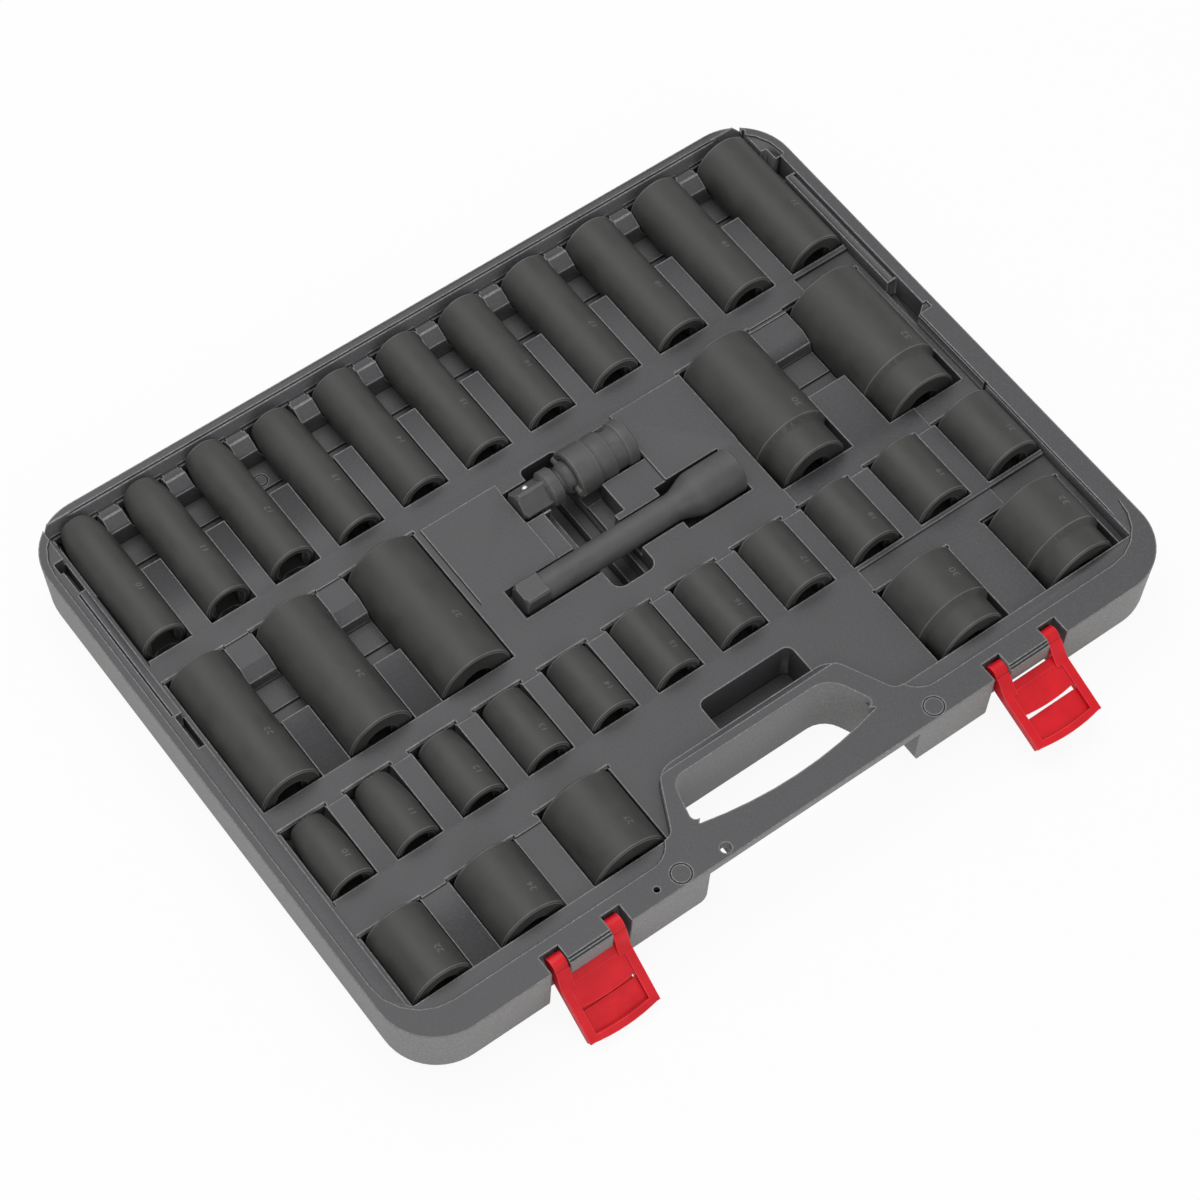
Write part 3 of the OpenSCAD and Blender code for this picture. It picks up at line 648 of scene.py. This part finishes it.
@dataclass(frozen=True)
class Latch:
    """One latch: its moulding, the lip of its web beside the lug and the tongue behind its slit.

    Attributes:
        side: Which latch, left or right.
        hang: Angle in degrees that it hangs from its closed position.
        closed_slit: Whether it has the tongue, which closes the middle of its slit.
        pivot: Depth of the pivot behind the front of the lug, and below the rim, in metres.
        tongue: The tongue.
        lip: The lip.
        rounding: Width of the rounding of their edges in metres.
        line: The beads along the moulding's edges.
    """

    side: str
    hang: float
    closed_slit: bool
    pivot: float = 0.0055
    tongue: Slab = Slab(half=0.0136, low=0.0240, high=0.0274, inner=0.0055, outer=0.0065)
    lip: Slab = Slab(half=0.0121, low=0.0085, high=0.0129, inner=0.0029, outer=0.0053)
    rounding: float = 0.0002
    line: EdgeLine = EdgeLine(0.0003)

    def build(self, plastic: bpy.types.Material,
              edges: tuple[bpy.types.Material, bpy.types.Material]) -> None:
        """Makes the latch's pieces.

        Args:
            plastic: Finish of the latch.
            edges: Finishes of its outer edges, with a painted highlight, and of its corners, with painted shade.
        """
        node = f"latch_{self.side}"
        case_low, case_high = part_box("case_base")
        low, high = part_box(node)
        place = (Matrix.Translation(((low.x + high.x) / 2, case_low.y + self.pivot, case_high.z - self.pivot))
                 @ Matrix.Rotation(math.radians(self.hang), 4, "X"))
        slabs = {"lip": self.lip}
        if self.closed_slit:
            slabs["tongue"] = self.tongue
        for name, slab in slabs.items():
            piece = slab.build(f"{node}_{name}", place, self.rounding, plastic)
            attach(piece, node)
        Moulding(node, self.line).build(f"{node}_moulding", node, "latch_plastic", [plastic], edges)


@dataclass(frozen=True)
class SizeMark:
    """The size of a socket in plain numerals, marked on its round side along its length.

    Attributes:
        node: Name of the socket's CAD node, which ends with its size.
        height: Height of the numerals in metres.
        along: Distance of their middle from the drive end in metres.
        turn: Angle in degrees of their middle from the top, towards the right.
        proud: Height of the mark above the steel in metres.
        type_size: Size of the type in heights of a numeral.
        cuts: Cuts on each side of the middle, along which the numerals bend.
        cut_gap: Distance between the cuts in heights of a numeral.
        weld: Distance in metres within which points become one.
    """

    node: str
    height: float
    along: float
    turn: float = 24.0
    proud: float = 0.00004
    type_size: float = 1.4
    cuts: int = 5
    cut_gap: float = 0.125
    weld: float = 1e-7

    def build(self, material: bpy.types.Material) -> None:
        """Makes the numerals as a thin mesh that follows the round side.

        Args:
            material: Finish of the mark.
        """
        low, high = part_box(self.node)
        flat = self.numerals()
        work = bmesh.new()
        work.from_mesh(flat)
        bpy.data.meshes.remove(flat)
        bmesh.ops.remove_doubles(work, verts=work.verts, dist=self.weld)
        for step in range(-self.cuts, self.cuts + 1):
            bmesh.ops.bisect_plane(work, geom=[*work.verts, *work.edges, *work.faces], dist=self.weld,
                                   plane_co=(0.0, step * self.height * self.cut_gap, 0.0),
                                   plane_no=(0.0, 1.0, 0.0))
        for vert in work.verts:
            vert.co = self.wrapped(vert.co, low, high)
        bmesh.ops.solidify(work, geom=work.faces[:], thickness=self.proud)
        bmesh.ops.recalc_face_normals(work, faces=work.faces)
        piece = make_piece(f"{self.node}_mark", work, [material])
        work.free()
        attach(piece, self.node)

    def numerals(self) -> bpy.types.Mesh:
        """Sets the numerals flat, in the middle of the ground plane.

        Returns:
            Their mesh.
        """
        curve = bpy.data.curves.new(f"{self.node}_text", "FONT")
        curve.body = self.node.split("_")[1]
        curve.size = self.height * self.type_size
        curve.align_x = "CENTER"
        curve.align_y = "CENTER"
        curve.resolution_u = 4
        holder = bpy.data.objects.new(f"{self.node}_text", curve)
        bpy.context.scene.collection.objects.link(holder)
        evaluated = holder.evaluated_get(bpy.context.evaluated_depsgraph_get())
        mesh = bpy.data.meshes.new_from_object(evaluated)
        bpy.data.objects.remove(holder)
        bpy.data.curves.remove(curve)
        return mesh

    def wrapped(self, point: Vector, low: Vector, high: Vector) -> Vector:
        """Place of a point of the flat numerals on the round side.

        Args:
            point: The point: x runs along the socket and y round it.
            low: Low corner of the socket's box.
            high: High corner of the socket's box.

        Returns:
            The point in metres.
        """
        radius = (high.x - low.x) / 2
        angle = math.radians(self.turn) - point.y / radius
        reach = radius + self.proud
        return Vector(((low.x + high.x) / 2 + reach * math.sin(angle), low.y + self.along + point.x,
                       high.z - radius + reach * math.cos(angle)))


# ---- Studio ----


def seen_rays(tree: bpy.types.NodeTree) -> bpy.types.NodeSocket:
    """Tells the rays that show a surface from those that light others.

    Args:
        tree: The node tree to add to.

    Returns:
        1 for camera, glossy and transmission rays, and 0 for the rest.
    """
    path = tree.nodes.new("ShaderNodeLightPath")
    seen = path.outputs["Is Camera Ray"]
    for name in ("Is Glossy Ray", "Is Transmission Ray"):
        either = tree.nodes.new("ShaderNodeMath")
        either.operation = "MAXIMUM"
        tree.links.new(seen, either.inputs[0])
        tree.links.new(path.outputs[name], either.inputs[1])
        seen = either.outputs["Value"]
    return seen


@dataclass(frozen=True)
class Lamp:
    """Soft square lamp that points at the middle of the floor.

    Attributes:
        name: Name of the lamp.
        place: Where it hangs, in metres.
        size: Side of the lamp in metres.
        power: Power in watts.
    """

    name: str
    place: Place
    size: float
    power: float

    def hang(self) -> None:
        """Hangs the lamp."""
        data = bpy.data.lights.new(self.name, "AREA")
        data.shape = "SQUARE"
        data.size = self.size
        data.energy = self.power
        lamp = bpy.data.objects.new(self.name, data)
        lamp.location = self.place
        lamp.rotation_euler = (-Vector(self.place)).to_track_quat("-Z", "Y").to_euler()
        bpy.context.scene.collection.objects.link(lamp)


@dataclass(frozen=True)
class Studio:
    """Pale floor, soft lights and the camera.

    Attributes:
        azimuth: Direction of view in degrees, 0 along +Y.
        elevation: Height of the camera above the horizon in degrees.
        roll: Turn of the camera about its line of view in degrees.
        distance: Camera to target in metres.
        field_of_view: Width of the view in degrees.
        target: Point in the middle of the view, in metres.
        sensor: Width of the camera's sensor in millimetres.
        far_end: Distance in metres past which the camera sees nothing.
        floor_half: Half of the floor's side in metres.
        floor_drop: Depth of the floor under the case's feet in metres.
        floor_grey: Brightness of the floor's own colour.
        floor_white: Share of plain white that the floor shows to the camera.
        sky: Strength of the light from all round.
        lamps: The lamps.
    """

    azimuth: float = -37.383
    elevation: float = 58.715
    roll: float = 1.151
    distance: float = 1.5704
    field_of_view: float = 20.04
    target: Place = (-0.01724, -0.02436, 0.038)
    sensor: float = 36.0
    far_end: float = 20.0
    floor_half: float = 4.0
    floor_drop: float = 0.0002
    floor_grey: float = 0.82
    floor_white: float = 0.92
    sky: float = 0.55
    lamps: tuple[Lamp, ...] = (
        Lamp("overhead", (-0.10, 0.50, 1.7), size=1.5, power=17.0),
        Lamp("side", (-0.35, -1.65, 1.1), size=1.2, power=7.5),
    )

    def build(self) -> None:
        """Makes the camera, the floor, the world and the lights."""
        self.camera()
        self.floor()
        self.world()
        for lamp in self.lamps:
            lamp.hang()

    def camera(self) -> None:
        """Places the camera."""
        azimuth, elevation, roll = (math.radians(v) for v in (self.azimuth, self.elevation, self.roll))
        back = Vector((math.sin(azimuth) * math.cos(elevation), -math.cos(azimuth) * math.cos(elevation),
                       math.sin(elevation)))
        right = Vector((math.cos(azimuth), math.sin(azimuth), 0.0))
        up = back.cross(right)
        across = right * math.cos(roll) + up * math.sin(roll)
        upward = up * math.cos(roll) - right * math.sin(roll)
        data = bpy.data.cameras.new("camera")
        data.sensor_fit = "HORIZONTAL"
        data.sensor_width = self.sensor
        data.lens = self.sensor / 2 / math.tan(math.radians(self.field_of_view) / 2)
        data.clip_end = self.far_end
        camera = bpy.data.objects.new("camera", data)
        turn = Matrix((across, upward, back)).transposed().to_4x4()
        camera.matrix_world = Matrix.Translation(Vector(self.target) + back * self.distance) @ turn
        bpy.context.scene.collection.objects.link(camera)
        bpy.context.scene.camera = camera

    def floor(self) -> None:
        """Lays a pale floor that shows white to the camera and keeps the object's shadow."""
        work = bmesh.new()
        bmesh.ops.create_grid(work, x_segments=1, y_segments=1, size=self.floor_half)
        bmesh.ops.translate(work, verts=work.verts, vec=(0.0, 0.0, -self.floor_drop))
        sheet = NodeSheet("floor")
        sheet.fixed("Base Color", (self.floor_grey, self.floor_grey, self.floor_grey, 1.0))
        sheet.fixed("Roughness", 0.9)
        white = sheet.add("ShaderNodeEmission")
        white.inputs["Strength"].default_value = 1.0
        share = sheet.add("ShaderNodeMath", operation="MULTIPLY")
        share.inputs[1].default_value = self.floor_white
        sheet.link(seen_rays(sheet.tree), share.inputs[0])
        mixed = sheet.add("ShaderNodeMixShader")
        sheet.link(share.outputs["Value"], mixed.inputs["Fac"])
        sheet.link(sheet.shader.outputs["BSDF"], mixed.inputs[1])
        sheet.link(white.outputs["Emission"], mixed.inputs[2])
        sheet.link(mixed.outputs["Shader"], sheet.tree.nodes["Material Output"].inputs["Surface"])
        floor = make_piece("floor", work, [sheet.material])
        work.free()

    def world(self) -> None:
        """Lights the scene softly from all round and shows white behind it."""
        world = bpy.data.worlds.new("studio")
        world.use_nodes = True
        tree = world.node_tree
        light = tree.nodes["Background"]
        light.inputs["Color"].default_value = (1.0, 1.0, 1.0, 1.0)
        light.inputs["Strength"].default_value = self.sky
        white = tree.nodes.new("ShaderNodeBackground")
        white.inputs["Strength"].default_value = 1.0
        mixed = tree.nodes.new("ShaderNodeMixShader")
        tree.links.new(seen_rays(tree), mixed.inputs["Fac"])
        tree.links.new(light.outputs["Background"], mixed.inputs[1])
        tree.links.new(white.outputs["Background"], mixed.inputs[2])
        tree.links.new(mixed.outputs["Shader"], tree.nodes["World Output"].inputs["Surface"])
        bpy.context.scene.world = world


# ---- The set ----


@dataclass(frozen=True)
class SocketSet:
    """The whole set, which dresses every node.

    Attributes:
        steel: Finish of the sockets.
        tool: Finish of the extension and the universal joint.
        bare: Finish of the detent balls.
        worn_and_highlight: Finish of rubbed steel: the outer edges, where it is partly real wear and partly a
            painted highlight, and the joint's pin.
        mark: Finish of the size numerals.
        latch: Finish of the latches.
        latch_edge_highlight: Finish of their outer edges, lighter as a painted highlight.
        latch_crease_shade: Finish of their corners, darker as painted shade.
        tray: Finish of the tray.
        tray_edge_highlight: Finish of the case's outer edges, lighter as a painted highlight.
        crease_shade: Finish of the case's corners, darker as painted shade.
        outside: Finish of the case's outside, the same plastic made lighter as painted sheen of its coarse grain.
        case_line: Beads along the edges of the case.
        steel_line: Beads along the edges of the steel pieces.
        numeral: Height of the numerals in metres.
        large_numeral: Their height on the stepped sockets, in metres.
        deep_along: Place of the numerals on a deep socket, from the drive end, as a share of its length.
        stepped_along: Their place on a standard socket with a stepped drive end.
        plain_along: Their place on the other standard sockets.
    """

    steel: bpy.types.Material
    tool: bpy.types.Material
    bare: bpy.types.Material
    worn_and_highlight: bpy.types.Material
    mark: bpy.types.Material
    latch: bpy.types.Material
    latch_edge_highlight: bpy.types.Material
    latch_crease_shade: bpy.types.Material
    tray: bpy.types.Material
    tray_edge_highlight: bpy.types.Material
    crease_shade: bpy.types.Material
    outside: bpy.types.Material
    case_line: EdgeLine = EdgeLine(0.0005)
    steel_line: EdgeLine = EdgeLine(0.0003, sharp=32.0)
    numeral: float = 0.0034
    large_numeral: float = 0.0042
    deep_along: float = 0.34
    stepped_along: float = 0.62
    plain_along: float = 0.3

    def build(self) -> None:
        """Builds the case and the latches and dresses the tools."""
        CaseBase("case_base", self.case_line).build(
            "case_moulding", "case", "case_plastic", [self.tray, self.outside], (self.tray_edge_highlight, self.crease_shade))
        for latch in (Latch("left", hang=128.0, closed_slit=True), Latch("right", hang=112.0, closed_slit=False)):
            latch.build(self.latch, (self.latch_edge_highlight, self.latch_crease_shade))
        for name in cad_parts:
            if name.startswith(("deep_", "std_")):
                self.forging(name, name, self.steel)
                self.size_mark(name)
        for name, body in (("extension_bar", "extension"), ("joint_housing", "joint_housing"),
                           ("joint_drive", "joint_drive")):
            self.forging(name, body, self.tool)
        for name, finish in (("extension_ball", self.bare), ("joint_ball", self.bare), ("joint_pin", self.worn_and_highlight)):
            self.dress(name, finish)

    def forging(self, node: str, body: str, finish: bpy.types.Material) -> None:
        """Builds one black steel piece, with its edges lighter as tumbled-bare wear and as a painted highlight,
        on its body.
        """
        Moulding(node, self.steel_line).build(f"{node}_steel", body, "socket_steel", [finish],
                                              (self.worn_and_highlight, finish))

    def size_mark(self, node: str) -> None:
        """Marks a socket with its size, clear of its narrowed nose and of its stepped drive end.

        Args:
            node: Name of the socket's CAD node.
        """
        low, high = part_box(node)
        stepped = node.endswith(("_30", "_32"))
        share = (self.deep_along if node.startswith("deep_")
                 else self.stepped_along if stepped else self.plain_along)
        height = self.large_numeral if stepped else self.numeral
        SizeMark(node, height, share * (high.y - low.y)).build(self.mark)

    def dress(self, node: str, finish: bpy.types.Material) -> None:
        """Gives a CAD node its finish and reports it.

        Args:
            node: Name of the CAD node.
            finish: The finish.
        """
        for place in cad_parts[node].material_slots:
            place.material = finish
        LOG.info("%s: dressed with %s", node, finish.name)


def main() -> None:
    """Builds the whole scene."""
    logging.basicConfig(level=logging.INFO)
    bpy.context.scene.view_settings.view_transform = "Standard"
    SocketSet(
        steel=PhosphatedSteel().make(),
        tool=PhosphatedSteel("tool_steel", (0.052, 0.052, 0.053), (0.088, 0.088, 0.087), 0.5).make(),
        bare=BareSteel().make(),
        # lighter steel for the outer edges, partly wear and partly a painted highlight, and for the joint's pin
        worn_and_highlight=PhosphatedSteel("worn_edge_highlight", (0.066, 0.0655, 0.063), (0.15, 0.148, 0.141), 0.44).make(),
        mark=PhosphatedSteel("size_mark", (0.085, 0.085, 0.082), (0.14, 0.139, 0.135), 0.45).make(),
        latch=LatchPlastic().make(),
        # painted highlight: a lighter copy of the latch red for its outer edges
        latch_edge_highlight=LatchPlastic("latch_edge_highlight", (0.86, 0.045, 0.060), (0.76, 0.020, 0.032)).make(),
        # painted shade: a darker copy of the latch red for its corners
        latch_crease_shade=LatchPlastic("latch_crease_shade", (0.42, 0.004, 0.012), (0.34, 0.003, 0.010)).make(),
        tray=MouldedPlastic("tray_plastic", (0.055, 0.055, 0.0585), (0.13, 0.13, 0.134), grain=0.0008,
                            relief=0.00008, roughness=0.50, fleck=0.4).make(),
        # painted highlight: the same plastic made much lighter for the case's outer edges
        tray_edge_highlight=MouldedPlastic("tray_edge_highlight", (0.15, 0.15, 0.154), (0.34, 0.34, 0.343), grain=0.0012,
                                 relief=0.00003, roughness=0.42, fleck=0.8).make(),
        # painted shade: the same plastic made nearly black for the case's corners
        crease_shade=MouldedPlastic("tray_crease_shade", (0.012, 0.012, 0.013), (0.04, 0.04, 0.042), grain=0.0008,
                              relief=0.00004, roughness=0.6, fleck=0.3).make(),
        # painted sheen: the case's plastic made lighter on the outside, with a coarser real grain
        outside=MouldedPlastic("grained_plastic_sheen", (0.19, 0.187, 0.186), (0.42, 0.415, 0.41), grain=0.0010,
                               relief=0.00018, roughness=0.6, fleck=0.6).make(),
    ).build()
    Studio().build()


if __name__ == "__main__":
    main()
